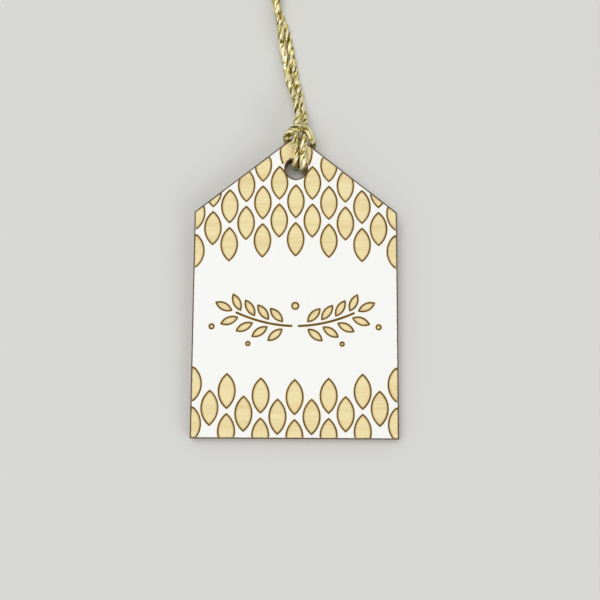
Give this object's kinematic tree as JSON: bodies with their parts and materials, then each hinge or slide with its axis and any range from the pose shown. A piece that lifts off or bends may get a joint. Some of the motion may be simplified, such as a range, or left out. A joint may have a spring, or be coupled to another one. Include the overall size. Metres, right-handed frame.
{
  "type": "hang tag",
  "caption": "Gable-topped plywood hang tag with a pierced white face coat, hung on a doubled metallic cord by a lark's head hitch.",
  "frame": {"origin": "middle of the wooden back face, half way up the tag; the cord behind the wood lies below it", "axes": "+X to the tag's right, +Y to the point of the gable, +Z out of the coated face"},
  "size_m": [0.0508, 0.1586, 0.0116],
  "materials": {
    "face_veneer": "bare basswood veneer, scored and scorched by the laser",
    "core_veneer": "cross-grained veneer, scorched at its cut edge",
    "face_coat": "matt white coat",
    "cord": "twisted cord with gold metallic yarn"
  },
  "bodies": {
    "tag": {"back_veneer": "face_veneer", "core_veneer": "core_veneer", "front_veneer": "face_veneer", "face_coat": "face_coat"},
    "hitch": {"cord_hitch": "cord"},
    "loop": {"left_strand": "cord", "right_strand": "cord", "end_knot": "cord"}
  },
  "joints": [
    {"name": "cord_swing", "type": "hinge", "parent": "tag", "child": "hitch", "pos_m": [0, 0.0294, 0], "axis": [0, 0, 1], "range_deg": [-3, 10]},
    {"name": "loop_fold", "type": "hinge", "parent": "hitch", "child": "loop", "pos_m": [0.00106, 0.04106, 0.0035], "axis": [0.9981, -0.061, 0], "range_deg": [-65, 110]}
  ]
}
